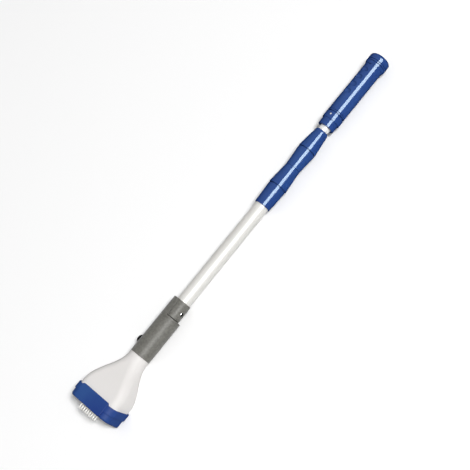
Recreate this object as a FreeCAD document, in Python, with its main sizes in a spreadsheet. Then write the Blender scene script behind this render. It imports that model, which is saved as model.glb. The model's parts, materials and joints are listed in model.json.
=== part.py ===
import FreeCAD, Part
import math
import os

import Sketcher

# A pool wall brush on a telescopic pole, lying on the flat back of its head.
#
# Frame: +X runs along the pole from the bristles to the handle, +Z is up and is also the
# way the front of the head faces, and +Y completes the set. The origin is the middle of the
# bounding box in X and Y, on the surface that the brush lies on.
#
# Every piece is first drawn about the pole's own axis. Its X values are called stations, and
# they are measured from a datum plane that stands datum_gap ahead of the bristle tips.
# place() then moves the finished piece into the part's frame.
#
# The head stands head_offset in front of the pole's axis, so its own pieces are drawn about
# the middle of its mouth instead. The mouth slants: a station there is that of the front row
# of bristles, and everything behind that row lies further up the pole.

DRIVING_SIZES = {
    # whole brush
    "total_length": 932.0,
    "datum_gap": 2.0,
    # head: a funnel with a rounded oblong mouth
    "head_width": 111.0,
    "head_depth": 71.0,
    "head_corner": 20.0,
    "head_offset": 6.0,
    "mouth_slant": 8.0,
    "lower_edge_slant": 3.0,
    "shell_inset": 3.5,
    "shell_wall": 2.5,
    "shell_mouth": 19.5,
    "straight_end": 41.0,
    "flare_start": 53.0,
    "flare_end": 148.0,
    "neck_radius": 21.6,
    "spigot_radius": 19.4,
    "spigot_end": 212.0,
    "post_radius": 4.0,
    "screw_radius": 1.5,
    "screw_head_radius": 2.9,
    "screw_sink": 0.6,
    # soft bumper band round the mouth of the head
    "band_start": 14.4,
    "band_step": 29.5,
    "band_end": 45.0,
    "band_step_depth": 2.2,
    "panel_width": 74.0,
    "panel_raise": 2.0,
    "panel_margin": 1.5,
    # base plate, bristle block and bristles
    "plate_start": 20.0,
    "plate_thickness": 3.0,
    "block_start": 17.7,
    "block_width": 46.0,
    "block_depth": 16.0,
    "block_flange": 4.0,
    "tuft_radius": 1.45,
    "tuft_pitch": 5.5,
    "row_pitch": 5.0,
    "rows_offset": 17.0,
    "tuft_root": 22.0,
    # coupling between the head and the pole
    "coupling_turn": -12.0,
    "coupling_start": 152.5,
    "coupling_radius": 22.5,
    "coupling_wall": 3.0,
    "groove_start": 243.8,
    "groove_width": 1.6,
    "rim_end": 249.0,
    "coupling_end": 288.4,
    "opening_offset": 3.5,
    "knob_station": 180.5,
    "knob_radius": 10.2,
    "knob_clearance": 0.3,
    "knob_flange": 1.8,
    # pivot of the pole
    "pivot_station": 254.7,
    "pivot_radius": 2.0,
    "running_gap": 0.05,
    "socket_radius": 17.4,
    "socket_start": 250.5,
    # telescopic pole
    "tube_radius": 15.0,
    "tube_wall": 1.2,
    "tube_start": 258.7,
    "tube_end": 625.0,
    "inner_tube_radius": 11.5,
    "inner_tube_wall": 1.1,
    "inner_tube_start": 325.0,
    "inner_tube_end": 853.0,
    # spring button that holds the pole in its socket
    "snap_station": 266.6,
    "snap_radius": 3.9,
    "snap_proud": 1.5,
    # twist lock
    "lock_start": 538.0,
    "lock_lip": 586.4,
    "lock_waist": 637.5,
    "lock_upper_lip": 682.5,
    "lock_end": 734.9,
    "waist_radius": 16.3,
    "lip_radius": 20.8,
    "lip_gap": 2.2,
    "nut_bore": 14.5,
    # handle
    "ferrule_start": 745.5,
    "collar_start": 762.0,
    "collar_end": 777.5,
    "grip_start": 783.8,
    "grip_end": 905.5,
    "grip_radius": 20.0,
    "cap_radius": 22.8,
    "cap_ring_start": 912.6,
    "cap_start": 918.2,
    "notch_pitch": 19.4,
    "grip_turn": -12.0,
}

TUFTS_PER_ROW = 8
TUFT_ROWS = 3
FLARE_SECTIONS = 9
FINGER_NOTCHES = 5
FULL_TURN = 360.0
NECK_ROUNDNESS = 0.97
GRIP_TENON = 0.7
GRIP_BORE = 16.0
FOUR_CORNERS = ((1, 1), (-1, 1), (-1, -1), (1, -1))
SLANT = math.tan(math.radians(DRIVING_SIZES["mouth_slant"]))
LOWER_EDGE_SLANT = math.tan(math.radians(DRIVING_SIZES["lower_edge_slant"]))


class Size:
    """A length that carries both its value and the spreadsheet expression behind it."""

    def __init__(self, value, text):
        self.value = value
        self.text = text

    def __add__(self, other):
        other = as_size(other)
        return Size(self.value + other.value, f"({self.text} + {other.text})")

    def __sub__(self, other):
        other = as_size(other)
        return Size(self.value - other.value, f"({self.text} - {other.text})")

    def __rsub__(self, other):
        return as_size(other) - self

    def __mul__(self, factor):
        return Size(self.value * factor, f"({self.text} * {factor:.6f})")

    def __truediv__(self, divisor):
        return Size(self.value / divisor, f"({self.text} / {divisor:.6f})")

    def __neg__(self):
        return Size(-self.value, f"(0 - {self.text})")

    __radd__ = __add__
    __rmul__ = __mul__


def as_size(number):
    """Give a plain number the same form as a spreadsheet size."""
    return number if isinstance(number, Size) else Size(float(number), f"{float(number):.6f}")


doc = FreeCAD.newDocument("pool_wall_brush")
sheet = doc.addObject("Spreadsheet::Sheet", "Sizes")
for row, (alias, value) in enumerate(DRIVING_SIZES.items(), start=1):
    sheet.set(f"A{row}", alias)
    sheet.set(f"B{row}", str(value))
    sheet.setAlias(f"B{row}", alias)
doc.recompute()

S = {alias: Size(value, f"Sizes.{alias}") for alias, value in DRIVING_SIZES.items()}
HEAD_HEIGHT = S["head_depth"] / 2
AXIS_HEIGHT = HEAD_HEIGHT - S["head_offset"]
DATUM_X = -(S["total_length"] / 2) - S["datum_gap"]
FRONT_ROW = S["rows_offset"] + S["row_pitch"]
SUB_PARTS = []


# ---------------------------------------------------------------- general helpers


def bind(thing, prop, size):
    """Drive one property of a document object from the sheet."""
    thing.setExpression(prop, as_size(size).text)


def put(thing, x=0.0, y=0.0, z=0.0, rotation=None):
    """Place a construction solid in the pole's own axes."""
    thing.Placement = FreeCAD.Placement(
        FreeCAD.Vector(as_size(x).value, as_size(y).value, as_size(z).value),
        rotation or FreeCAD.Rotation(),
    )
    bind(thing, ".Placement.Base.x", x)
    bind(thing, ".Placement.Base.y", y)
    bind(thing, ".Placement.Base.z", z)
    return thing


def place(thing, label, turn=0.0, height=AXIS_HEIGHT):
    """Name a finished piece and move it from the pole's axes into the part's frame."""
    thing.Label = label
    turn = as_size(turn)
    rotation = FreeCAD.Rotation(FreeCAD.Vector(1, 0, 0), turn.value)
    put(thing, DATUM_X, 0.0, height, rotation)
    SUB_PARTS.append(thing)
    return thing


ALONG_X = FreeCAD.Rotation(FreeCAD.Vector(0, 1, 0), 90)
ALONG_Y = FreeCAD.Rotation(FreeCAD.Vector(1, 0, 0), -90)
AGAINST_Y = FreeCAD.Rotation(FreeCAD.Vector(1, 0, 0), 90)
ALONG_Z = FreeCAD.Rotation()


def rod(name, radius, length, x=0.0, y=0.0, z=0.0, rotation=ALONG_X):
    """A cylinder that starts at the given point and runs along the rotated axis."""
    cylinder = doc.addObject("Part::Cylinder", name)
    bind(cylinder, "Radius", radius)
    bind(cylinder, "Height", length)
    return put(cylinder, x, y, z, rotation)


def disc(name, radius, start, end):
    """A cylinder about the pole's axis between two stations."""
    return rod(name, radius, as_size(end) - start, start)


def block(name, x, y, z, length, width, height):
    """A box given by its lowest corner and its three sides."""
    box = doc.addObject("Part::Box", name)
    bind(box, "Length", length)
    bind(box, "Width", width)
    bind(box, "Height", height)
    return put(box, x, y, z)


def ball(name, radius, x, y, z):
    """A sphere about a point."""
    sphere = doc.addObject("Part::Sphere", name)
    bind(sphere, "Radius", radius)
    return put(sphere, x, y, z)


def cut(name, base, *tools):
    """One solid less others."""
    for number, tool in enumerate(tools):
        result = doc.addObject("Part::Cut", f"{name}_{number}")
        result.Base = base
        result.Tool = tool
        base = result
    return base


def fuse(name, *solids):
    """Several solids made one."""
    result = doc.addObject("Part::MultiFuse", name)
    result.Shapes = list(solids)
    result.Refine = True
    return result


def common(name, first, second):
    """What two solids share."""
    result = doc.addObject("Part::Common", name)
    result.Base = first
    result.Tool = second
    return result


def group(name, solids):
    """Separate solids kept side by side in one node."""
    result = doc.addObject("Part::Compound", name)
    result.Links = list(solids)
    return result


def softened(name, base, radius, wanted):
    """Fillet the edges of a solid that the test picks out."""
    doc.recompute()
    fillet = doc.addObject("Part::Fillet", name)
    fillet.Base = base
    edges = []
    for number, edge in enumerate(base.Shape.Edges, start=1):
        if wanted(edge):
            edges.append((number, radius, radius))
    if not edges:
        raise RuntimeError(f"{name}: no edge to round")
    fillet.Edges = edges
    return fillet


def at_mouth(station, up, slant=SLANT):
    """The station, at a height above the mouth's middle, of a plane that slants with the mouth."""
    return as_size(station) + (FRONT_ROW - up) * slant


def mouth_edge_at(station, slant=SLANT, tolerance=0.02):
    """A test for edges that lie in one of the mouth's slanting planes."""
    def test(edge):
        middle = edge.valueAt((edge.FirstParameter + edge.LastParameter) / 2)
        points = [vertex.Point for vertex in edge.Vertexes] + [middle]
        return all(abs(point.x - at_mouth(station, point.z, slant).value) < tolerance for point in points)
    return test


# ---------------------------------------------------------------- sketches


def origin_plane(body, role):
    """One of a body's own origin planes."""
    for feature in body.Origin.OriginFeatures:
        if feature.Role == role:
            return feature
    raise RuntimeError(f"no {role} in {body.Label}")


def draw_outline(sketch, corners):
    """A closed outline of straight lines, every corner held by the sheet."""
    points = [FreeCAD.Vector(as_size(a).value, as_size(b).value, 0) for a, b in corners]
    count = len(points)
    for number in range(count):
        sketch.addGeometry(Part.LineSegment(points[number], points[(number + 1) % count]), False)
    for number in range(count):
        sketch.addConstraint(Sketcher.Constraint("Coincident", number, 2, (number + 1) % count, 1))
    for number, (across, up) in enumerate(corners):
        for kind, size in (("DistanceX", across), ("DistanceY", up)):
            size = as_size(size)
            if abs(size.value) < 1e-9:
                on_axis = -1 if kind == "DistanceY" else -2
                sketch.addConstraint(Sketcher.Constraint("PointOnObject", number, 1, on_axis))
                continue
            row = sketch.addConstraint(Sketcher.Constraint(kind, -1, 1, number, 1, size.value))
            sketch.setExpression(f"Constraints[{row}]", size.text)


def ring_edge(shape, station, radius):
    """The name of the circular edge about the pole's axis at one station and radius."""
    for number, edge in enumerate(shape.Edges, start=1):
        curve = edge.Curve
        if not isinstance(curve, Part.Circle):
            continue
        if abs(curve.Center.x - station) < 0.02 and abs(curve.Radius - radius) < 0.02:
            return f"Edge{number}"
    raise RuntimeError(f"no ring edge at {station:.1f}, radius {radius:.1f}")


def turned(name, corners, rounds=()):
    """A lathe-turned piece: (station, radius) corners revolved about the pole's axis.

    rounds lists (corner number, fillet radius).
    """
    body = doc.addObject("PartDesign::Body", name)
    sketch = body.newObject("Sketcher::SketchObject", name + "_profile")
    sketch.AttachmentSupport = [(origin_plane(body, "XZ_Plane"), "")]
    sketch.MapMode = "FlatFace"
    draw_outline(sketch, corners)
    revolution = body.newObject("PartDesign::Revolution", name + "_revolution")
    revolution.Profile = sketch
    revolution.ReferenceAxis = (sketch, ["H_Axis"])
    revolution.Angle = FULL_TURN
    sketch.Visibility = False
    body.Tip = revolution
    base = revolution
    for corner, fillet_radius in rounds:
        doc.recompute()
        station, radius = corners[corner]
        edge = ring_edge(base.Shape, as_size(station).value, as_size(radius).value)
        fillet = body.newObject("PartDesign::Fillet", f"{name}_round_{corner}")
        fillet.Base = (base, [edge])
        fillet.Radius = fillet_radius
        body.Tip = fillet
        base = fillet
    return body


def sleeve(name, start, end, outer, bore, round_start=0.0, round_end=0.0):
    """A plain or tapered tube between two stations; outer is one radius or a pair."""
    outer_start, outer_end = outer if isinstance(outer, tuple) else (outer, outer)
    corners = [(start, bore), (start, outer_start), (end, outer_end), (end, bore)]
    rounds = [(number, radius) for number, radius in ((1, round_start), (2, round_end)) if radius]
    return turned(name, corners, rounds)


def oblong(name, station, width, depth, corner, slant=SLANT, drop=0.0):
    """A rounded rectangle across the head, with width along Y and depth along Z.

    slant is how far its plane runs up the pole for each millimetre down, and drop is how far
    its middle lies below the mouth's.
    """
    sketch = doc.addObject("Sketcher::SketchObject", name)
    tilt = FreeCAD.Rotation(FreeCAD.Vector(0, 1, 0), -math.degrees(math.atan(slant)))
    station = as_size(station) + (FRONT_ROW + drop) * slant
    put(sketch, station, 0.0, -as_size(drop), tilt.multiply(FreeCAD.Rotation(FreeCAD.Vector(1, 1, 1), 120)))
    depth = as_size(depth) * math.hypot(1.0, slant)
    half_width, half_depth, corner = as_size(width) / 2, depth / 2, as_size(corner)
    inner_y = half_width.value - corner.value
    inner_z = half_depth.value - corner.value
    up = FreeCAD.Vector(0, 0, 1)
    for quarter, (side_y, side_z) in enumerate(FOUR_CORNERS):
        middle = FreeCAD.Vector(side_y * inner_y, side_z * inner_z, 0)
        start = math.pi / 2 * quarter
        sketch.addGeometry(
            Part.ArcOfCircle(Part.Circle(middle, up, corner.value), start, start + math.pi / 2), False
        )
    for quarter in range(4):
        arc, after = sketch.Geometry[quarter], sketch.Geometry[(quarter + 1) % 4]
        sketch.addGeometry(Part.LineSegment(arc.EndPoint, after.StartPoint), False)
    for quarter in range(4):
        line = 4 + quarter
        sketch.addConstraint(Sketcher.Constraint("Tangent", quarter, 2, line, 1))
        sketch.addConstraint(Sketcher.Constraint("Tangent", line, 2, (quarter + 1) % 4, 1))
        kind = "Horizontal" if quarter % 2 == 0 else "Vertical"
        sketch.addConstraint(Sketcher.Constraint(kind, line))
        if quarter:
            sketch.addConstraint(Sketcher.Constraint("Equal", 0, quarter))
    row = sketch.addConstraint(Sketcher.Constraint("Radius", 0, corner.value))
    sketch.setExpression(f"Constraints[{row}]", corner.text)
    for line, kind, size in (
        (4, "DistanceY", half_depth),
        (5, "DistanceX", -half_width),
        (6, "DistanceY", -half_depth),
        (7, "DistanceX", half_width),
    ):
        row = sketch.addConstraint(Sketcher.Constraint(kind, -1, 1, line, 1, size.value))
        sketch.setExpression(f"Constraints[{row}]", size.text)
    return sketch


def prism(name, start, end, width, depth, corner, slant=SLANT):
    """A rounded oblong block between two of the mouth's slanting planes."""
    extrusion = doc.addObject("Part::Extrusion", name)
    extrusion.Base = oblong(name + "_outline", start, width, depth, corner, slant)
    extrusion.DirMode = "Custom"
    extrusion.Dir = FreeCAD.Vector(1, 0, 0)
    extrusion.Solid = True
    bind(extrusion, "LengthFwd", as_size(end) - start)
    return extrusion


# ---------------------------------------------------------------- head


def smooth_step(t):
    """The curve of the funnel's flank: level at both ends."""
    return t * t * (3.0 - 2.0 * t)


def funnel(name, mouth, inset):
    """The funnel's solid from its mouth to its neck, drawn in by an inset all round."""
    inset = as_size(inset)
    neck = S["neck_radius"] - inset
    rim_width = S["head_width"] - 2 * (S["shell_inset"] + inset)
    rim_depth = S["head_depth"] - 2 * (S["shell_inset"] + inset)
    rim_corner = S["head_corner"] - S["shell_inset"] - inset
    stations = [(mouth, 0.0), (S["straight_end"], 0.0)]
    for number in range(FLARE_SECTIONS):
        t = number / (FLARE_SECTIONS - 1)
        stations.append((S["flare_start"] + (S["flare_end"] - S["flare_start"]) * t, t))
    stations.append((S["coupling_start"] - 0.3, 1.0))
    sections = []
    for number, (station, t) in enumerate(stations):
        blend = smooth_step(t)
        width = rim_width * (1.0 - blend) + neck * (2.0 * blend)
        depth = rim_depth * (1.0 - blend) + neck * (2.0 * blend)
        corner = rim_corner * (1.0 - blend) + neck * (NECK_ROUNDNESS * blend)
        slant = SLANT * (1.0 - blend) ** 2
        drop = S["head_offset"] * blend
        sections.append(oblong(f"{name}_section_{number}", station, width, depth, corner, slant, drop))
    loft = doc.addObject("Part::Loft", name)
    loft.Sections = sections
    loft.Solid = True
    loft.Ruled = False
    return loft


def head_knob_cutter(name, radius):
    """The round hole that the release button slides in, turned with the coupling."""
    axis = FreeCAD.Vector(1, 0, 0)
    turn = FreeCAD.Rotation(axis, S["coupling_turn"].value)
    return rod(name, radius, 40.0, S["knob_station"], 0.0, -S["head_offset"], turn.multiply(ALONG_Y))


def post_places():
    """Where the four screw posts stand, as offsets across and up from the mouth's middle."""
    post_inset = 6.2
    inset = S["shell_inset"] + S["shell_wall"] + post_inset
    across = S["head_width"] / 2 - inset
    up = S["head_depth"] / 2 - inset
    for number, (side_y, side_z) in enumerate(FOUR_CORNERS):
        yield number, across * side_y, up * side_z


def shell_posts():
    """The screw posts in the corners of the shell's mouth, cut off flush with the plate."""
    plate_end = S["plate_start"] + S["plate_thickness"]
    post_length, skin = 17.0, 0.5
    posts = []
    for number, across, up in post_places():
        posts.append(rod(f"post_{number}", S["post_radius"], post_length, at_mouth(plate_end, up) - 1.0,
                         across, up))
    inside_shell = common("posts_in_shell", fuse("all_posts", *posts),
                          funnel("shell_limit", S["shell_mouth"], skin))
    plate_room = prism("posts_plate_room", S["plate_start"] - 5.0, plate_end, S["head_width"],
                       S["head_depth"], S["head_corner"])
    return cut("kept_posts", inside_shell, plate_room)


def head_shell():
    drop = -S["head_offset"]
    overlap = 3.0
    outer = funnel("shell_outside", S["shell_mouth"], 0.0)
    inner = funnel("shell_inside", S["shell_mouth"] - 1.0, S["shell_wall"])
    start = S["coupling_start"] - overlap
    spigot = rod("spigot", S["spigot_radius"], S["spigot_end"] - start, start, 0.0, drop)
    bore = rod("spigot_bore", S["spigot_radius"] - S["shell_wall"], S["spigot_end"] - start + 2 * overlap,
               start - overlap, 0.0, drop)
    pilot_length = 18.0
    pilot_holes = []
    for number, across, up in post_places():
        start = at_mouth(S["plate_start"], up) - S["plate_thickness"]
        pilot_holes.append(rod(f"pilot_{number}", S["screw_radius"], pilot_length, start, across, up))
    hollow = cut("shell_hollow", fuse("shell_solid", outer, spigot), inner, bore)
    with_posts = fuse("shell_with_posts", hollow, shell_posts())
    hole = head_knob_cutter("shell_knob_hole", S["knob_radius"] + S["knob_clearance"])
    place(cut("shell_done", with_posts, hole, *pilot_holes), "head_shell", height=HEAD_HEIGHT)


def front_panel(reach_down):
    """The raised panel on the band's front, with its corners and its face edges rounded."""
    half_depth = S["head_depth"] / 2
    margin = S["panel_margin"]
    start = at_mouth(S["band_start"], half_depth, LOWER_EDGE_SLANT) + margin
    panel = block("band_panel", start, -(S["panel_width"] / 2), half_depth - reach_down,
                  S["band_end"] - S["band_start"] + margin, S["panel_width"], S["panel_raise"] + reach_down)
    doc.recompute()
    top = (half_depth + S["panel_raise"]).value
    corner_radius, face_edge_radius = 5.0, 1.4
    corners = softened("band_panel_corners", panel, corner_radius,
                       lambda edge: edge.BoundBox.ZLength > reach_down - 1.0)
    doc.recompute()
    return softened("band_panel_soft", corners, face_edge_radius, lambda edge: edge.BoundBox.ZMin > top - 0.01)


def bumper_band():
    """The soft band round the mouth, with a thicker rim and a raised panel on the front."""
    step = S["band_step_depth"]
    lower_edge_radius, rim_edge_radius = 5.0, 1.4
    low = prism("band_low", S["band_start"], S["band_end"] - 1.0, S["head_width"] - 2 * step,
                S["head_depth"] - 2 * step, S["head_corner"] - step, LOWER_EDGE_SLANT)
    low_soft = softened("band_low_soft", low, lower_edge_radius,
                        mouth_edge_at(S["band_start"], LOWER_EDGE_SLANT))
    rim = prism("band_rim", S["band_step"], S["band_end"], S["head_width"], S["head_depth"], S["head_corner"])
    rim_ends = (mouth_edge_at(S["band_step"]), mouth_edge_at(S["band_end"]))
    rim_soft = softened("band_rim_soft", rim, rim_edge_radius,
                        lambda edge: any(test(edge) for test in rim_ends))
    panel_root = 9.0
    outside = fuse("band_outside", low_soft, rim_soft, front_panel(panel_root))
    clearance = 0.1
    inset = S["shell_inset"] - clearance
    seat_start = S["shell_mouth"] - clearance
    inner = prism("band_seat", seat_start, S["band_end"] + 5.0, S["head_width"] - 2 * inset,
                  S["head_depth"] - 2 * inset, S["head_corner"] - inset)
    lip = inset + 1.2
    reach_ahead = 12.0
    mouth = prism("band_mouth", S["band_start"] - reach_ahead, S["shell_mouth"], S["head_width"] - 2 * lip,
                  S["head_depth"] - 2 * lip, S["head_corner"] - lip)
    shell_clearance = 0.16
    room_for_shell = funnel("band_shell_room", seat_start, -shell_clearance)
    place(cut("band_done", outside, inner, mouth, room_for_shell), "bumper_band", height=HEAD_HEIGHT)


def base_plate():
    """The plate that closes the mouth; it holds the bristle block and four screws."""
    clearance = 0.15
    gap = S["shell_inset"] + S["shell_wall"] + clearance
    start, thickness = S["plate_start"], S["plate_thickness"]
    plate = prism("plate_blank", start, start + thickness, S["head_width"] - 2 * gap,
                  S["head_depth"] - 2 * gap, S["head_corner"] - gap)
    through = thickness + 6.0
    window = block("plate_window", at_mouth(start, S["rows_offset"]) - 3.0, -(S["block_width"] / 2),
                   S["rows_offset"] - S["block_depth"] / 2, through, S["block_width"], S["block_depth"])
    tools = [window]
    for number, across, up in post_places():
        seat = at_mouth(start, up) + S["screw_sink"]
        tools.append(rod(f"plate_hole_{number}", S["screw_radius"] + 0.2, through, seat - 1.0, across, up))
        tools.append(rod(f"plate_seat_{number}", S["screw_head_radius"] + 0.2, 4.0, seat - 4.0, across, up))
    drain_radius, drain_pitch, drain_up = 3.0, 14.0, -12.0
    for number, side in enumerate((-1, 0, 1)):
        tools.append(rod(f"drain_{number}", drain_radius, through, at_mouth(start, drain_up) - 3.0,
                         drain_pitch * side, drain_up))
    place(cut("plate_done", plate, *tools), "base_plate", height=HEAD_HEIGHT)


def base_screws():
    """Four pan-head screws through the plate into the shell's posts."""
    head_height, shank_length = 1.6, 13.0
    slot_length, slot_width = 4.0, 0.6
    screws = []
    for number, across, up in post_places():
        seat = at_mouth(S["plate_start"], up) + S["screw_sink"]
        head = rod(f"screw_head_{number}", S["screw_head_radius"], head_height, seat - head_height, across, up)
        shank = rod(f"screw_shank_{number}", S["screw_radius"], shank_length, seat - 0.5, across, up)
        slot = block(f"screw_slot_{number}", seat - head_height - 0.4, across - slot_length / 2,
                     up - slot_width / 2, 1.1, slot_length, slot_width)
        screws.append(cut(f"screw_{number}", fuse(f"screw_blank_{number}", head, shank), slot))
    place(group("screws", screws), "base_screws", height=HEAD_HEIGHT)


def tuft_places():
    """Where each tuft stands, as offsets across and up from the mouth's middle.

    The rows are staggered by half a pitch.
    """
    middle = (TUFTS_PER_ROW - 1) / 2
    middle_row = (TUFT_ROWS - 1) / 2
    for row_number in range(TUFT_ROWS):
        stagger = 0.25 if row_number % 2 else -0.25
        for column in range(TUFTS_PER_ROW):
            across = S["tuft_pitch"] * (column - middle + stagger)
            up = S["rows_offset"] + S["row_pitch"] * (row_number - middle_row)
            yield f"{row_number}_{column}", across, up


def bristle_block():
    """The block that holds the tufts, with a flange that traps it behind the base plate."""
    gap = 0.1
    flange_thickness = 3.0
    width, depth, flange = S["block_width"] - 2 * gap, S["block_depth"] - 2 * gap, S["block_flange"]
    start = at_mouth(S["block_start"], S["rows_offset"])
    flange_foot = S["rows_offset"] - depth / 2 - flange / 2
    flange_start = at_mouth(S["plate_start"] + S["plate_thickness"], flange_foot) + 0.02
    front = block("block_front", start, -(width / 2), S["rows_offset"] - depth / 2,
                  flange_start - start + 1.0, width, depth)
    back = block("block_back", flange_start, -(width / 2) - flange / 2, flange_foot,
                 flange_thickness, width + flange, depth + flange)
    holes = []
    for name, across, up in tuft_places():
        hole_start = start - 1.0
        holes.append(rod(f"tuft_hole_{name}", S["tuft_radius"], at_mouth(S["tuft_root"], up) - hole_start,
                         hole_start, across, up))
    place(cut("block_done", fuse("block_blank", front, back), fuse("tuft_holes", *holes)), "bristle_block",
          height=HEAD_HEIGHT)


def bristle_tufts():
    """All the tufts; the four in the corners of the field are a node of their own."""
    last_row, last = TUFT_ROWS - 1, TUFTS_PER_ROW - 1
    corner_names = ("0_0", f"0_{last}", f"{last_row}_0", f"{last_row}_{last}")
    corner_tufts = []
    inner_tufts = []
    for name, across, up in tuft_places():
        tuft = rod(f"tuft_{name}", S["tuft_radius"], S["tuft_root"] - S["datum_gap"],
                   at_mouth(S["datum_gap"], up), across, up)
        (corner_tufts if name in corner_names else inner_tufts).append(tuft)
    place(group("tufts_inner", inner_tufts), "bristle_tufts", height=HEAD_HEIGHT)
    place(group("tufts_corner", corner_tufts), "bristle_tufts_corner", height=HEAD_HEIGHT)


# ---------------------------------------------------------------- coupling and pivot


def coupling_body():
    """The sleeve over the head's spigot; its upper half is cut open so that the pole can fold."""
    start, end = S["coupling_start"], S["coupling_end"]
    radius = S["coupling_radius"]
    bore = radius - S["coupling_wall"]
    foot_round, top_round, groove_depth, clear = 1.2, 0.8, 1.4, 5.0
    outside = sleeve("coupling_outside", start, end, radius, 4.0, foot_round, top_round)
    lower_bore = disc("coupling_lower_bore", bore, start - 1.0, S["spigot_end"] + 1.0)
    upper_bore = disc("coupling_upper_bore", bore, S["spigot_end"] + 4.0, end + 1.0)
    groove_start = S["groove_start"]
    groove_end = groove_start + S["groove_width"]
    groove = cut("rim_groove", disc("groove_outside", radius + 1.0, groove_start, groove_end),
                 disc("groove_inside", radius - groove_depth, groove_start - 1.0, groove_end + 1.0))
    opening = block("coupling_opening", S["rim_end"], -(radius + clear), -(radius + clear),
                    end - S["rim_end"] + clear, radius + clear - S["opening_offset"], (radius + clear) * 2)
    knob_hole = rod("coupling_knob_hole", S["knob_radius"] + S["knob_clearance"], 40.0, S["knob_station"],
                    0.0, 0.0, ALONG_Y)
    pin_hole = rod("coupling_pin_hole", S["pivot_radius"], 60.0, S["pivot_station"], 0.0, -30.0, ALONG_Z)
    place(cut("coupling_done", outside, lower_bore, upper_bore, groove, opening, knob_hole, pin_hole),
          "coupling_body", S["coupling_turn"])


def pivot_pin():
    """The pin that the pole's socket folds on, just under the coupling's skin."""
    below_skin = 0.3
    half = S["coupling_radius"] - below_skin
    pin = rod("pin_blank", S["pivot_radius"], half * 2, S["pivot_station"], 0.0, -half, ALONG_Z)
    place(group("pin", [pin]), "pivot_pin", S["coupling_turn"])


def release_button():
    """The domed button that locks the head in the coupling."""
    radius = S["knob_radius"]
    spigot_inside = S["spigot_radius"] - S["shell_wall"]
    flange_top, flange_reach = 12.4, 1.0
    pocket_radius, pocket_start, pocket_depth = 6.4, 8.0, 10.0
    dome_foot = S["coupling_radius"] + 0.6
    half_room = 15.0
    x = S["knob_station"]
    stem = rod("button_stem", radius, dome_foot - flange_top, x, flange_top, 0.0, ALONG_Y)
    dome = ball("button_dome", radius, x, dome_foot, 0.0)
    above = block("button_above", x - half_room, dome_foot - 0.05, -half_room, 2 * half_room, half_room,
                  2 * half_room)
    cap = common("button_cap", dome, above)
    flange = rod("button_flange", radius + flange_reach, S["knob_flange"], x, flange_top - S["knob_flange"],
                 0.0, ALONG_Y)
    pocket = rod("button_pocket", pocket_radius, pocket_depth, x, pocket_start, 0.0, ALONG_Y)
    if flange_top >= spigot_inside.value:
        raise RuntimeError("the button's flange is outside the spigot")
    place(cut("button_done", fuse("button_blank", stem, cap, flange), pocket), "release_button",
          S["coupling_turn"])


def coil_spring(label, coil_radius, wire_radius, pitch, x, start_y, end_y, turn):
    """A compression spring whose axis is parallel to Y."""
    helix = doc.addObject("Part::Helix", label + "_helix")
    helix.Radius = coil_radius
    helix.Pitch = pitch
    helix.Height = end_y - start_y - 2 * wire_radius
    wire = doc.addObject("Part::Circle", label + "_wire")
    wire.Radius = wire_radius
    wire.Placement = FreeCAD.Placement(
        FreeCAD.Vector(coil_radius, 0, 0), FreeCAD.Rotation(FreeCAD.Vector(1, 0, 0), 90)
    )
    sweep = doc.addObject("Part::Sweep", label + "_sweep")
    sweep.Sections = [wire]
    sweep.Spine = (helix, [])
    sweep.Solid = True
    sweep.Frenet = True
    sweep.Placement = FreeCAD.Placement(
        FreeCAD.Vector(as_size(x).value, start_y + wire_radius, 0), ALONG_Y
    )
    place(group(label + "_coil", [sweep]), label, turn)


def release_spring():
    coil_radius, wire_radius, pitch = 4.8, 0.6, 3.0
    far_end = 1.2 - (S["spigot_radius"] - S["shell_wall"]).value
    near_end = 17.6
    coil_spring("release_spring", coil_radius, wire_radius, pitch, S["knob_station"], far_end, near_end,
                S["coupling_turn"])


# ---------------------------------------------------------------- telescopic pole


def pole_socket():
    """The socket that takes the pole; its solid root turns on the pivot pin."""
    radius = S["socket_radius"]
    start, end = S["socket_start"], S["coupling_end"]
    outside = sleeve("socket_outside", start, end, radius, 1.0, 0.8, 0.6)
    boss_radius, boss_reach = 4.5, 18.6
    bosses = rod("socket_bosses", boss_radius, 2 * boss_reach, S["pivot_station"], 0.0, -boss_reach, ALONG_Z)
    centre = disc("socket_centre", 1.2, start + 0.1, S["tube_start"] - 0.2)
    bore = disc("socket_bore", S["tube_radius"], S["tube_start"], end + 1.0)
    pin_hole = rod("socket_pin_hole", S["pivot_radius"] + S["running_gap"], 60.0, S["pivot_station"],
                   0.0, -30.0, ALONG_Z)
    button_room = 0.6
    button_hole = rod("socket_button_hole", S["snap_radius"] + button_room, 30.0, S["snap_station"], 0.0, 0.0,
                      AGAINST_Y)
    pips = []
    pip_radius, pip_floor, pip_depth, pip_from_end, pip_angle = 1.5, 13.5, 7.0, 2.6, 13.0
    for number, angle in enumerate((-pip_angle, pip_angle)):
        outward = FreeCAD.Rotation(FreeCAD.Vector(1, 0, 0), 90.0 - angle)
        across = -pip_floor * math.cos(math.radians(angle))
        up = pip_floor * math.sin(math.radians(angle))
        pips.append(rod(f"socket_pip_{number}", pip_radius, pip_depth, start + pip_from_end, across, up,
                        outward))
    blank = fuse("socket_blank", outside, bosses, centre)
    place(cut("socket_done", blank, bore, pin_hole, button_hole, *pips), "pole_socket", S["coupling_turn"])


def outer_tube():
    tube = sleeve("tube_blank", S["tube_start"], S["tube_end"], S["tube_radius"],
                  S["tube_radius"] - S["tube_wall"])
    button_room = 0.3
    hole = rod("tube_button_hole", S["snap_radius"] + button_room, 30.0, S["snap_station"], 0.0, 0.0, AGAINST_Y)
    place(cut("tube_done", tube, hole), "outer_tube", S["coupling_turn"])


def tube_plug():
    """The plug that closes the foot of the outer tube."""
    bore = S["tube_radius"] - S["tube_wall"]
    start = S["tube_start"]
    end = start + 2.0
    place(turned("tube_plug", [(start, 0), (start, bore), (end, bore), (end, 0)]), "tube_plug")


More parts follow.
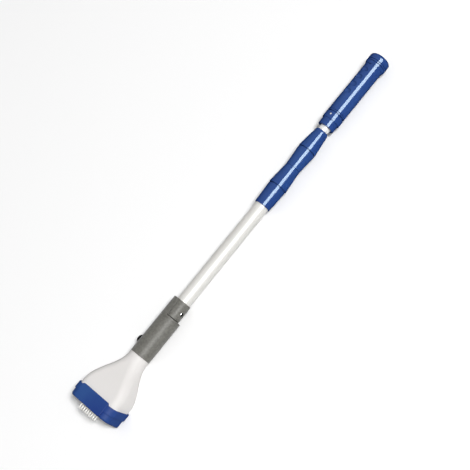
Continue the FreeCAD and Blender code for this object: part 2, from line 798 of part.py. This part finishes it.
def snap_button():
    """The spring button that pops through the tube and the socket."""
    x = S["snap_station"]
    radius = S["snap_radius"]
    inside = S["tube_radius"] - S["tube_wall"]
    shoulder = S["socket_radius"] - 0.4
    foot_reach, foot_thickness, foot_start = 1.2, 1.2, inside - 2.4
    stem = rod("snap_stem", radius, shoulder - inside + 0.8, x, -(inside - 0.8), 0.0, AGAINST_Y)
    dome_radius = (radius.value ** 2 + S["snap_proud"].value ** 2) / (2 * S["snap_proud"].value)
    dome_centre = shoulder.value + S["snap_proud"].value - dome_radius
    dome = ball("snap_dome", dome_radius, x, -dome_centre, 0.0)
    limit = rod("snap_limit", radius, 6.0, x, -(shoulder - 0.05), 0.0, AGAINST_Y)
    cap = common("snap_cap", dome, limit)
    foot = rod("snap_foot", radius + foot_reach, foot_thickness, x, -foot_start, 0.0, AGAINST_Y)
    foot_stem = rod("snap_foot_stem", radius, 2.0, x, -foot_start, 0.0, AGAINST_Y)
    place(fuse("snap_done", stem, cap, foot, foot_stem), "snap_button", S["coupling_turn"])


def snap_spring():
    """The bent leaf behind the snap button: one arm under it, one on the far wall."""
    thickness = 0.7
    half_width = 3.0
    x = S["snap_station"].value
    near = -(S["tube_radius"] - S["tube_wall"] - 2.4).value + 0.05
    far = 12.2
    foot_x = x - 4.0
    bend_x = x + 34.0
    middle = (near + far) / 2
    outer = (far - near) / 2
    inner = outer - thickness
    corners = [
        FreeCAD.Vector(foot_x, near, 0), FreeCAD.Vector(bend_x, near, 0),
        FreeCAD.Vector(bend_x, far, 0), FreeCAD.Vector(foot_x, far, 0),
        FreeCAD.Vector(foot_x, far - thickness, 0), FreeCAD.Vector(bend_x, far - thickness, 0),
        FreeCAD.Vector(bend_x, near + thickness, 0), FreeCAD.Vector(foot_x, near + thickness, 0),
    ]
    outer_arc = Part.Arc(corners[1], FreeCAD.Vector(bend_x + outer, middle, 0), corners[2]).toShape()
    inner_arc = Part.Arc(corners[5], FreeCAD.Vector(bend_x + inner, middle, 0), corners[6]).toShape()
    edges = [
        Part.makeLine(corners[0], corners[1]), outer_arc, Part.makeLine(corners[2], corners[3]),
        Part.makeLine(corners[3], corners[4]), Part.makeLine(corners[4], corners[5]), inner_arc,
        Part.makeLine(corners[6], corners[7]), Part.makeLine(corners[7], corners[0]),
    ]
    face = Part.Face(Part.Wire(edges))
    leaf = face.extrude(FreeCAD.Vector(0, 0, 2 * half_width))
    leaf.translate(FreeCAD.Vector(0, 0, -half_width))
    spring = doc.addObject("Part::Feature", "snap_spring_leaf")
    spring.Shape = leaf
    place(spring, "snap_spring", S["coupling_turn"])


# ---------------------------------------------------------------- twist lock


def lock_lower():
    """The two fixed pieces of the twist lock, below its waist."""
    start, lip, waist = S["lock_start"], S["lock_lip"], S["lock_waist"]
    bore = S["tube_radius"]
    foot_radius, head_radius, step_down = 17.5, 19.75, 4.0
    place(sleeve("lock_sleeve", start, lip, (foot_radius, head_radius), bore, 0.8, 0.5), "lock_sleeve")
    shoulder = S["lip_radius"] - step_down
    body_start = lip + S["lip_gap"]
    body = turned("lock_body", [
        (lip, bore), (lip, shoulder), (body_start, shoulder), (body_start, S["lip_radius"]),
        (waist, S["waist_radius"]), (waist, bore),
    ], [(3, 0.9)])
    place(body, "lock_body")


def lock_collet():
    """The split collet that the nut squeezes on the inner tube."""
    bore = S["inner_tube_radius"] + S["running_gap"]
    start = S["tube_end"] + 1.0
    neck_length, finger_length = 22.0, 52.0
    neck_start = S["lock_waist"] + 0.1
    neck_end = neck_start + neck_length
    tip = neck_end + finger_length
    neck_radius = S["nut_bore"] - 0.08
    finger_radius, tip_radius = S["nut_bore"] - 0.6, S["nut_bore"] - 1.4
    blank = turned("collet_blank", [
        (start, bore), (start, S["tube_radius"]), (neck_start - 0.2, S["tube_radius"]),
        (neck_start, neck_radius), (neck_end, neck_radius), (neck_end, finger_radius), (tip, tip_radius),
        (tip, bore),
    ])
    slot_start, slot_length = neck_end + 3.0, 60.0
    slot_width, across = 1.2, 40.0
    level = block("collet_slot_level", slot_start, -across / 2, -slot_width / 2, slot_length, across,
                  slot_width)
    upright = block("collet_slot_upright", slot_start, -slot_width / 2, -across / 2, slot_length, slot_width,
                    across)
    place(cut("collet_done", blank, level, upright), "lock_collet")


def tube_end_bush():
    """The bush in the mouth of the outer tube that guides the inner tube."""
    bore = S["tube_radius"] - S["tube_wall"]
    end, length = S["tube_end"], 22.0
    bush = sleeve("tube_end_bush", end - length, end, bore, S["inner_tube_radius"] + S["running_gap"])
    place(bush, "tube_end_bush")


def lock_upper():
    """The two turning pieces of the twist lock, above its waist."""
    waist, lip, end = S["lock_waist"] + 0.6, S["lock_upper_lip"], S["lock_end"]
    bore = S["nut_bore"]
    nut_radius, step_down = 19.8, 4.2
    place(sleeve("lock_nut", waist, lip, (S["waist_radius"], nut_radius), bore, 0.3, 0.5), "lock_nut")
    cap_start = lip + S["lip_gap"]
    shoulder = S["lip_radius"] - step_down
    cone_end, cone_radius, nose_radius = end - 4.0, 14.9, 13.6
    nose_bore = S["inner_tube_radius"] + 0.3
    bore_end, bore_slope = end - 15.0, 4.0
    cap = turned("lock_cap", [
        (lip, bore), (lip, shoulder), (cap_start, shoulder), (cap_start, S["lip_radius"] - 0.4),
        (cone_end, cone_radius), (end, nose_radius), (end, nose_bore), (bore_end, nose_bore),
        (bore_end - bore_slope, bore),
    ], [(3, 0.9), (5, 1.0)])
    place(cap, "lock_cap")


# ---------------------------------------------------------------- inner tube and handle


def inner_tube():
    wall = S["inner_tube_wall"]
    start, end = S["inner_tube_start"], S["inner_tube_end"]
    radius = S["inner_tube_radius"]
    tube = sleeve("inner_tube_blank", start, end, radius, radius - wall)
    place(tube, "inner_tube")
    guide_radius = S["tube_radius"] - S["tube_wall"] - S["running_gap"]
    guide_start, guide_end, guide_bore = start - 4.0, start + 22.0, 3.0
    guide = turned("inner_tube_guide", [
        (guide_start, guide_bore), (guide_start, guide_radius), (guide_end, guide_radius), (guide_end, radius),
        (start, radius), (start, guide_bore),
    ])
    place(guide, "inner_tube_guide")
    plug_start, plug_end = end - 12.0, end + 2.0
    plug = turned("inner_tube_plug", [
        (plug_start, 0), (plug_start, radius - wall), (end, radius - wall), (end, radius), (plug_end, radius),
        (plug_end, 0),
    ])
    place(plug, "inner_tube_plug")


def handle_collars():
    """The stepped collar at the foot of the grip, with its locking pin and index notch."""
    bore = S["inner_tube_radius"]
    ferrule_radius, ferrule_round = 18.0, 1.2
    ferrule = sleeve("handle_ferrule", S["ferrule_start"], S["collar_start"], ferrule_radius, bore,
                     ferrule_round)
    place(ferrule, "handle_ferrule")
    start, end = S["collar_start"], S["collar_end"]
    radius = S["grip_radius"] + 0.2
    blank = sleeve("collar_blank", start, end, radius, bore, 0.8, 0.5)
    pin_x = start + (end - start) * 0.6
    pin_radius, pin_fit = 1.85, 0.05
    pin_hole = rod("collar_pin_hole", pin_radius + pin_fit, 30.0, pin_x, 0.0, S["inner_tube_radius"], ALONG_Z)
    notch_side, notch_reach, notch_depth = 5.5, 3.4, 2.2
    notch = doc.addObject("Part::Box", "collar_notch")
    notch.Length = notch_side
    notch.Width = notch_side
    notch.Height = notch_side
    point_down = FreeCAD.Rotation(FreeCAD.Vector(0, 0, 1), -45)
    put(notch, end - notch_reach, 0.0, radius - notch_depth, point_down)
    place(cut("collar_done", blank, pin_hole, notch), "handle_collar")
    pin = rod("collar_pin_blank", pin_radius, radius - S["inner_tube_radius"] - 0.3, pin_x, 0.0,
              S["inner_tube_radius"] + pin_fit, ALONG_Z)
    doc.recompute()
    domed = doc.addObject("Part::Fillet", "collar_pin_domed")
    domed.Base = pin
    domed.Edges = [(number, 0.5, 0.5) for number, edge in enumerate(pin.Shape.Edges, start=1)
                   if edge.BoundBox.ZMin > radius.value - 1.0]
    place(domed, "collar_pin")
    spacer_end = end + 2.6
    ring = sleeve("grip_ring", spacer_end, S["grip_start"] - GRIP_TENON, S["grip_radius"], bore, 0.5, 0.5)
    place(ring, "grip_ring")
    spacer = sleeve("grip_spacer", end, spacer_end, S["grip_radius"] - 3.0, bore)
    place(spacer, "grip_spacer")


def grip():
    """The grip, with shallow notches for the fingers along one side."""
    radius = S["grip_radius"]
    start, end = S["grip_start"], S["grip_end"]
    tenon, tenon_radius = start - GRIP_TENON, radius - 2.4
    tube_end = S["inner_tube_end"] + 2.1
    blank = turned("grip_blank", [
        (tenon, S["inner_tube_radius"]), (tenon, tenon_radius), (start, tenon_radius), (start, radius),
        (end, radius), (end, GRIP_BORE), (tube_end, GRIP_BORE), (tube_end, S["inner_tube_radius"]),
    ], [(3, 0.5)])
    notches = []
    notch_depth, notch_half_length, notch_half_width = 2.6, 5.2, 9.0
    first = start + 48.0
    for number in range(FINGER_NOTCHES):
        notch = doc.addObject("Part::Ellipsoid", f"finger_notch_{number}")
        notch.Radius1 = notch_depth
        notch.Radius2 = notch_half_length
        notch.Radius3 = notch_half_width
        put(notch, first + S["notch_pitch"] * number, 0.0, radius - 0.1)
        notches.append(notch)
    place(cut("grip_done", blank, *notches), "grip", S["grip_turn"])


def handle_end():
    """The flared end of the handle: a sleeve, a ring between two grooves and a domed cap."""
    radius = S["cap_radius"]
    start = S["grip_end"]
    ring_start, cap_start = S["cap_ring_start"], S["cap_start"]
    end = S["datum_gap"] + S["total_length"]
    foot_radius, flare_end = 20.6, start + 5.0
    flare = turned("cap_sleeve", [
        (start, GRIP_BORE), (start, foot_radius), (flare_end, radius - 0.2), (ring_start, radius),
        (ring_start, GRIP_BORE),
    ], [(2, 2.0), (3, 0.4)])
    place(flare, "cap_sleeve")
    groove_width, groove_floor, ring_radius = 1.2, radius - 2.4, radius - 0.1
    land_start, land_end = ring_start + groove_width, cap_start - groove_width
    ring = turned("cap_ring", [
        (ring_start, GRIP_BORE), (ring_start, groove_floor), (land_start, groove_floor),
        (land_start, ring_radius), (land_end, ring_radius), (land_end, groove_floor),
        (cap_start, groove_floor), (cap_start, GRIP_BORE),
    ], [(3, 0.3), (4, 0.3)])
    place(ring, "cap_ring")
    plug_start, plug_radius = ring_start - 8.0, GRIP_BORE - 0.1
    crown_height, crown_round = 1.8, 7.0
    cap = turned("end_cap", [
        (plug_start, 0), (plug_start, plug_radius), (cap_start, plug_radius), (cap_start, radius),
        (end - crown_height, radius), (end, 0),
    ], [(3, 0.4), (4, crown_round)])
    place(cap, "end_cap")


head_shell()
bumper_band()
base_plate()
base_screws()
bristle_block()
bristle_tufts()
coupling_body()
pivot_pin()
release_button()
release_spring()
pole_socket()
outer_tube()
tube_plug()
snap_button()
snap_spring()
lock_lower()
lock_collet()
tube_end_bush()
lock_upper()
inner_tube()
handle_collars()
grip()
handle_end()

doc.recompute()
for thing in doc.Objects:
    if "Invalid" in thing.State or "Error" in thing.State:
        raise RuntimeError(f"{thing.Label} failed: {thing.State}")
for thing in SUB_PARTS:
    if thing.Shape.isNull() or not thing.Shape.isValid() or not thing.Shape.Solids:
        raise RuntimeError(f"{thing.Label} has no valid solid")

os.makedirs("parts", exist_ok=True)
for thing in SUB_PARTS:
    thing.Shape.exportStep(f"parts/{thing.Label}.step")
    box = thing.Shape.optimalBoundingBox(False)
    print(f"{thing.Label:18s} {len(thing.Shape.Solids):3d} solid(s) {thing.Shape.Volume:10.0f} mm3  "
          f"x {box.XMin:7.1f}..{box.XMax:7.1f}  y {box.YMin:6.1f}..{box.YMax:6.1f}  "
          f"z {box.ZMin:6.1f}..{box.ZMax:6.1f}")
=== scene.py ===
"""Looks of the pool wall brush: materials, bristles, floor, light and camera round the CAD frame."""
import json
import math
import random

import bmesh
import bpy
from mathutils import Matrix, Vector


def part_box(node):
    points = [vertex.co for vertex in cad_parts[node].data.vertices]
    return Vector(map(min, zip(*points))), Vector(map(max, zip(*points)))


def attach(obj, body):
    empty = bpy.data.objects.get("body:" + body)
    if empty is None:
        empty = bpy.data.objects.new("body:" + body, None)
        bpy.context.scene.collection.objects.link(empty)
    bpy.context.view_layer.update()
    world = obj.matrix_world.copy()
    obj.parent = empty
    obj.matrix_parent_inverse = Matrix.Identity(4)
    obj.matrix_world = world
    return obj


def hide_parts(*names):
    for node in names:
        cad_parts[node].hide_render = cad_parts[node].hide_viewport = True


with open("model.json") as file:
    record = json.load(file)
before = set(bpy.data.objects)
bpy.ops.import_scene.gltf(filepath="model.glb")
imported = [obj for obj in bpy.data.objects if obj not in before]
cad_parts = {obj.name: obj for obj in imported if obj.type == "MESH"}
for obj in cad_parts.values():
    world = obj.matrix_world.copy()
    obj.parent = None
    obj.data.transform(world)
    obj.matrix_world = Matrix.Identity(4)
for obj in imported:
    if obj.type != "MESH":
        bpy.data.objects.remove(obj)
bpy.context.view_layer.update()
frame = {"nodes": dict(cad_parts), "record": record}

# ---------------------------------------------------------------- camera

TUBE_LOW, TUBE_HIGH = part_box("outer_tube")
POLE_Z = (TUBE_LOW[2] + TUBE_HIGH[2]) / 2
LEAN_AWAY = math.radians(7.6)        # the handle's end is further from the camera
TURN_ABOUT_POLE = math.radians(30)   # the camera looks at the head's front from one side
POLE_SLOPE = math.radians(50.93)     # how steeply the pole climbs across the picture
CAMERA_DISTANCE = 2.20
SENSOR_WIDTH = 36.0
PICTURE_SPAN = 0.940                 # metres across the picture at the pole's middle
AIM_X = -0.010                       # where the camera aims, along the pole
AIM_ASIDE = -0.0054                  # and beside it

TOWARD = Vector((
    -math.sin(LEAN_AWAY),
    -math.cos(LEAN_AWAY) * math.sin(TURN_ABOUT_POLE),
    math.cos(LEAN_AWAY) * math.cos(TURN_ABOUT_POLE),
))
POLE = Vector((1, 0, 0))
ALONG = (POLE - TOWARD * POLE.dot(TOWARD)).normalized()
ASIDE = ALONG.cross(TOWARD)


def add_camera():
    """The camera at the reference angle, aimed near the pole's middle."""
    right = ALONG * math.cos(POLE_SLOPE) + ASIDE * math.sin(POLE_SLOPE)
    up = ALONG * math.sin(POLE_SLOPE) - ASIDE * math.cos(POLE_SLOPE)
    aim = Vector((AIM_X, 0, POLE_Z)) + ASIDE * AIM_ASIDE
    data = bpy.data.cameras.new("camera")
    data.sensor_width = SENSOR_WIDTH
    data.lens = SENSOR_WIDTH * CAMERA_DISTANCE / PICTURE_SPAN
    camera = bpy.data.objects.new("camera", data)
    turn = Matrix((right, up, TOWARD)).transposed().to_4x4()
    camera.matrix_world = Matrix.Translation(aim + TOWARD * CAMERA_DISTANCE) @ turn
    bpy.context.scene.collection.objects.link(camera)
    bpy.context.scene.camera = camera


add_camera()

# ---------------------------------------------------------------- materials


class Look:
    """A material on one Principled shader, with short calls for the nodes that feed it."""

    def __init__(self, name, **settings):
        self.material = bpy.data.materials.new(name)
        self.material.use_nodes = True
        self.tree = self.material.node_tree
        self.shader = self.tree.nodes["Principled BSDF"]
        for key, value in settings.items():
            self.feed(self.shader, key.replace("_", " ").title().replace("Ior", "IOR"), value)

    def feed(self, node, socket, value):
        if isinstance(value, bpy.types.NodeSocket):
            self.tree.links.new(value, node.inputs[socket])
        elif isinstance(value, tuple) and len(value) == 3 and node.inputs[socket].type == "RGBA":
            node.inputs[socket].default_value = (*value, 1)
        else:
            node.inputs[socket].default_value = value

    def node(self, kind, output, settings=(), **inputs):
        made = self.tree.nodes.new(kind)
        for key, value in dict(settings).items():
            setattr(made, key, value)
        for key, value in inputs.items():
            self.feed(made, key.replace("_", " "), value)
        return made.outputs[output]

    def where(self, stretch=(1, 1, 1)):
        """The piece's own coordinates in metres, stretched."""
        coordinates = self.node("ShaderNodeTexCoord", "Object")
        return self.node("ShaderNodeMapping", "Vector", Vector=coordinates, Scale=stretch)

    def noise(self, scale, stretch=(1, 1, 1), detail=3.0):
        return self.node("ShaderNodeTexNoise", "Fac", Vector=self.where(stretch), Scale=scale, Detail=detail)

    def spread(self, value, out_low, out_high, low=0.3, high=0.7):
        return self.node("ShaderNodeMapRange", "Result", Value=value, From_Min=low, From_Max=high,
                         To_Min=out_low, To_Max=out_high)

    def tinted(self, value, first, second):
        """A colour between two, by a value from 0 to 1."""
        ramp = self.tree.nodes.new("ShaderNodeValToRGB")
        for element, colour, position in zip(ramp.color_ramp.elements, (first, second), (0.35, 0.65)):
            element.color = (*colour, 1)
            element.position = position
        self.tree.links.new(value, ramp.inputs["Fac"])
        return ramp.outputs["Color"]

    def plus(self, first, second):
        made = self.tree.nodes.new("ShaderNodeMath")
        made.operation = "ADD"
        self.feed(made, 0, first)
        self.feed(made, 1, second)
        return made.outputs["Value"]

    def relief(self, height, distance):
        """Small bumps of a depth in metres."""
        normal = self.node("ShaderNodeBump", "Normal", Height=height, Distance=distance, Strength=1.0)
        self.tree.links.new(normal, self.shader.inputs["Normal"])


SCUFF_SCALE = 260.0
SCUFF_STRETCH = (0.12, 1, 1)         # scuffs run along the pole
GLOSS_SCALE = 40.0
METAL_CLOUD_SCALE = 30.0
METAL_CLOUD_STRETCH = (0.2, 1, 1)
DRAWN_LINE_SCALE = 2600.0
DRAWN_LINE_STRETCH = (0.012, 1, 1)
DRAWN_LINE_DEPTH = 0.00001


def moulded(name, colour, second, rough, grain_scale, grain_depth, scuff=0.06, cloud_scale=9.0,
            **settings):
    """Moulded plastic: slight cloudiness in its colour, fine grain, and handling scuffs in its gloss."""
    look = Look(name, **settings)
    look.feed(look.shader, "Base Color", look.tinted(look.noise(cloud_scale), colour, second))
    scuffs = look.spread(look.noise(SCUFF_SCALE, SCUFF_STRETCH, 5.0), 0.0, scuff, 0.52, 0.72)
    gloss = look.spread(look.noise(GLOSS_SCALE), rough - 0.02, rough + 0.03)
    look.feed(look.shader, "Roughness", look.plus(scuffs, gloss))
    look.relief(look.noise(grain_scale, detail=2.0), grain_depth)
    return look.material


def drawn_metal(name, colour, second, rough, metallic=1.0, **settings):
    """Drawn metal: fine lines that run along the tube, in its gloss and its surface."""
    look = Look(name, metallic=metallic, **settings)
    clouds = look.noise(METAL_CLOUD_SCALE, METAL_CLOUD_STRETCH)
    look.feed(look.shader, "Base Color", look.tinted(clouds, colour, second))
    lines = look.noise(DRAWN_LINE_SCALE, DRAWN_LINE_STRETCH, 2.0)
    look.feed(look.shader, "Roughness", look.spread(lines, rough - 0.04, rough + 0.06))
    look.relief(lines, DRAWN_LINE_DEPTH)
    return look.material


def make_materials():
    """One material for each of the record's slots."""
    return {
        "white_plastic": moulded("white_moulded", (0.70, 0.68, 0.665), (0.72, 0.70, 0.685), 0.36, 1800.0,
                                 0.000015, 0.05, specular_ior_level=0.06),
        "blue_bumper": moulded("blue_bumper", (0.014, 0.036, 0.195), (0.027, 0.075, 0.245), 0.46, 1300.0,
                               0.00004, 0.12, specular_ior_level=0.07),
        "blue_plastic": moulded("blue_gloss", (0.019, 0.051, 0.205), (0.024, 0.066, 0.235), 0.08, 2600.0,
                                0.000001, 0.015, specular_tint=(0.74, 0.91, 1.0, 1.0)),
        "gray_plastic": moulded("gray_satin", (0.125, 0.122, 0.109), (0.170, 0.167, 0.149), 0.42, 1600.0,
                                0.00005, 0.10, 240.0, specular_ior_level=0.15, sheen_weight=0.25),
        "black_plastic": moulded("black_gloss", (0.008, 0.008, 0.009), (0.012, 0.012, 0.013), 0.12, 700.0,
                                 0.000003),
        "white_nylon": moulded("natural_nylon", (0.66, 0.66, 0.63), (0.70, 0.70, 0.67), 0.40, 1200.0,
                               0.00003),
        "bristle_nylon": moulded("bristle_filament", (0.84, 0.83, 0.79), (0.88, 0.87, 0.83), 0.34, 3000.0,
                                 0.00001),
        "aluminium": drawn_metal("satin_aluminium", (0.66, 0.65, 0.62), (0.70, 0.69, 0.66), 0.40, 0.04,
                                 specular_ior_level=0.4, sheen_weight=0.4),
        "inner_aluminium": drawn_metal("bright_aluminium", (0.76, 0.76, 0.74), (0.80, 0.80, 0.785), 0.38,
                                       0.08, sheen_weight=0.2),
        "steel": drawn_metal("spring_steel", (0.50, 0.50, 0.51), (0.58, 0.58, 0.59), 0.25),
        "chrome": drawn_metal("chrome", (0.76, 0.76, 0.78), (0.80, 0.80, 0.82), 0.08),
    }


MATERIALS = make_materials()


def dress_nodes():
    """Give every CAD node the detailed material of its slot."""
    for subpart in frame["record"]["subparts"]:
        piece = frame["nodes"][subpart["node"]]
        for place in piece.material_slots:
            place.material = MATERIALS[subpart["material_slot"]]


dress_nodes()

# ---------------------------------------------------------------- bristles

TUFTS_PER_ROW = 8
TUFT_ROWS = 3
TUFT_RADIUS = 0.00145
FILAMENTS_PER_TUFT = 30
FILAMENT_RADIUS = 0.00021
FILAMENT_SIDES = 6
FILAMENT_STEPS = 6
TIP_SIZE = 0.55                      # a filament's last ring, as a share of its radius
ROOT_SQUEEZE = 0.92                  # a tuft's width at its root, as a share of its width
TIP_GATHER = 0.12                    # filaments lean in at the tip by up to this share
TIP_SPREAD = 0.0006                  # filaments differ in length by up to this
MOST_BEND = 0.00015
BRISTLE_SEED = 11
GOLDEN_ANGLE = math.pi * (3 - math.sqrt(5))


def tuft_stands(low, high):
    """Where each tuft stands across and up, in staggered rows that fill the box round the CAD tufts."""
    pitch = (high.y - low.y - 2 * TUFT_RADIUS) / (TUFTS_PER_ROW - 0.5)
    rise = (high.z - low.z - 2 * TUFT_RADIUS) / (TUFT_ROWS - 1)
    for row in range(TUFT_ROWS):
        stagger = 0.5 if row % 2 else 0.0
        for column in range(TUFTS_PER_ROW):
            y = low.y + TUFT_RADIUS + pitch * (column + stagger)
            yield Vector((0, y, low.z + TUFT_RADIUS + rise * row))


def add_filament(mesh, root, tip, bend, radius):
    """One nylon filament: a thin curved rod with a rounded end."""
    rings = []
    for step in range(FILAMENT_STEPS + 1):
        t = step / FILAMENT_STEPS
        middle = root.lerp(tip, t) + bend * (t * t)
        size = radius * (1.0 if t < 1 else TIP_SIZE)
        ring = []
        for side in range(FILAMENT_SIDES):
            angle = 2 * math.pi * side / FILAMENT_SIDES
            offset = Vector((0, math.cos(angle) * size, math.sin(angle) * size))
            ring.append(mesh.verts.new(middle + offset))
        rings.append(ring)
    for first, second in zip(rings, rings[1:]):
        for side in range(FILAMENT_SIDES):
            after = (side + 1) % FILAMENT_SIDES
            mesh.faces.new((first[side], first[after], second[after], second[side]))
    mesh.faces.new(rings[-1])
    mesh.faces.new(list(reversed(rings[0])))


def add_bristles():
    """All tufts as one piece, which stands for both of the CAD's tuft nodes."""
    random.seed(BRISTLE_SEED)
    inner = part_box("bristle_tufts")
    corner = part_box("bristle_tufts_corner")
    low = Vector([min(a, b) for a, b in zip(inner[0], corner[0])])
    high = Vector([max(a, b) for a, b in zip(inner[1], corner[1])])
    mesh = bmesh.new()
    for stand in tuft_stands(low, high):
        for number in range(FILAMENTS_PER_TUFT):
            angle = number * GOLDEN_ANGLE
            reach = (TUFT_RADIUS - FILAMENT_RADIUS) * math.sqrt((number + 0.5) / FILAMENTS_PER_TUFT)
            offset = Vector((0, math.cos(angle), math.sin(angle))) * reach
            gather = 1.0 - random.uniform(0.0, TIP_GATHER)
            root = Vector((high.x, stand.y, stand.z)) + offset * ROOT_SQUEEZE
            tip = Vector((low.x + random.uniform(0.0, TIP_SPREAD), stand.y, stand.z)) + offset * gather
            bend = Vector((0, random.uniform(-1, 1), random.uniform(-1, 1))) * MOST_BEND
            add_filament(mesh, root, tip, bend, FILAMENT_RADIUS * random.uniform(0.9, 1.1))
    data = bpy.data.meshes.new("bristles")
    mesh.to_mesh(data)
    mesh.free()
    for face in data.polygons:
        face.use_smooth = True
    bristles = bpy.data.objects.new("bristles", data)
    data.materials.append(MATERIALS["bristle_nylon"])
    bpy.context.scene.collection.objects.link(bristles)
    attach(bristles, "head")
    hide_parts("bristle_tufts", "bristle_tufts_corner")


add_bristles()

# ---------------------------------------------------------------- floor and light

FLOOR_HALF = 6.0
WORLD_STRENGTH = 0.42
WORLD_DARK_BELOW, WORLD_WHITE_ABOVE = 0.10, 0.85
STRIP_DISTANCE = 2.0
STRIP_ANGLE = math.radians(8.0)
STRIP_LENGTH = 2.6
STRIP_WIDTH = 1.22
STRIP_RADIANCE = 16.5
STRIP_SHIFT = Vector((0.2, 0, 0))    # towards the handle
SUN_DISTANCE = 9.0
SUN_LEAN = math.radians(7.5)         # towards the handle, so that the head shades what lies ahead of it
SUN_SIZE = 1.8
SUN_RADIANCE = 72.0


def add_floor():
    """A pale floor that glossy surfaces do not mirror."""
    mesh = bpy.data.meshes.new("floor")
    corners = [(x * FLOOR_HALF, y * FLOOR_HALF, 0) for x, y in ((-1, -1), (1, -1), (1, 1), (-1, 1))]
    mesh.from_pydata(corners, [], [(0, 1, 2, 3)])
    floor = bpy.data.objects.new("floor", mesh)
    bpy.context.scene.collection.objects.link(floor)
    look = Look("pale_floor", base_color=(0.94, 0.94, 0.94), roughness=0.95, specular_ior_level=0.1)
    mesh.materials.append(look.material)
    floor.visible_glossy = False


def add_area_light(name, place, target, size_along, size_across, radiance, glossy):
    """A rectangular lamp whose long side lies along the pole, seen either by gloss or by matt surfaces."""
    data = bpy.data.lights.new(name, "AREA")
    data.shape = "RECTANGLE"
    data.size = size_along
    data.size_y = size_across
    data.energy = radiance * math.pi * size_along * size_across
    light = bpy.data.objects.new(name, data)
    light.visible_glossy = glossy
    light.visible_diffuse = not glossy
    back = (place - target).normalized()
    long_side = (POLE - back * back.dot(POLE)).normalized()
    short_side = back.cross(long_side)
    turn = Matrix((long_side, short_side, back)).transposed().to_4x4()
    light.matrix_world = Matrix.Translation(place) @ turn
    bpy.context.scene.collection.objects.link(light)


def around_pole(angle):
    """The direction across the pole at an angle from the camera, turning down the picture's right side."""
    return Vector((0, -math.sin(TURN_ABOUT_POLE + angle), math.cos(TURN_ABOUT_POLE + angle)))


def add_world():
    """Soft white from above that falls to dark below, so that glossy flanks keep dark edges."""
    world = bpy.data.worlds.new("soft_white")
    world.use_nodes = True
    tree = world.node_tree
    coordinates = tree.nodes.new("ShaderNodeTexCoord")
    split = tree.nodes.new("ShaderNodeSeparateXYZ")
    ramp = tree.nodes.new("ShaderNodeValToRGB")
    ramp.color_ramp.elements[0].position = WORLD_DARK_BELOW
    ramp.color_ramp.elements[0].color = (0.03, 0.03, 0.03, 1)
    ramp.color_ramp.elements[1].position = WORLD_WHITE_ABOVE
    ramp.color_ramp.elements[1].color = (1.0, 1.0, 1.0, 1)
    tree.links.new(coordinates.outputs["Generated"], split.inputs["Vector"])
    tree.links.new(split.outputs["Z"], ramp.inputs["Fac"])
    tree.links.new(ramp.outputs["Color"], tree.nodes["Background"].inputs["Color"])
    tree.nodes["Background"].inputs["Strength"].default_value = WORLD_STRENGTH
    bpy.context.scene.world = world


def add_lights():
    """A strip for the gloss and a distant lamp for the matt surfaces."""
    middle = Vector((0, 0, POLE_Z))
    target = middle + STRIP_SHIFT
    strip = target + around_pole(STRIP_ANGLE) * STRIP_DISTANCE
    add_area_light("strip", strip, target, STRIP_LENGTH, STRIP_WIDTH, STRIP_RADIANCE, True)
    sun = middle + (POLE * math.sin(SUN_LEAN) + around_pole(0) * math.cos(SUN_LEAN)) * SUN_DISTANCE
    add_area_light("sun", sun, middle, SUN_SIZE, SUN_SIZE, SUN_RADIANCE, False)


add_floor()
add_world()
add_lights()
bpy.context.scene.view_settings.view_transform = "Standard"
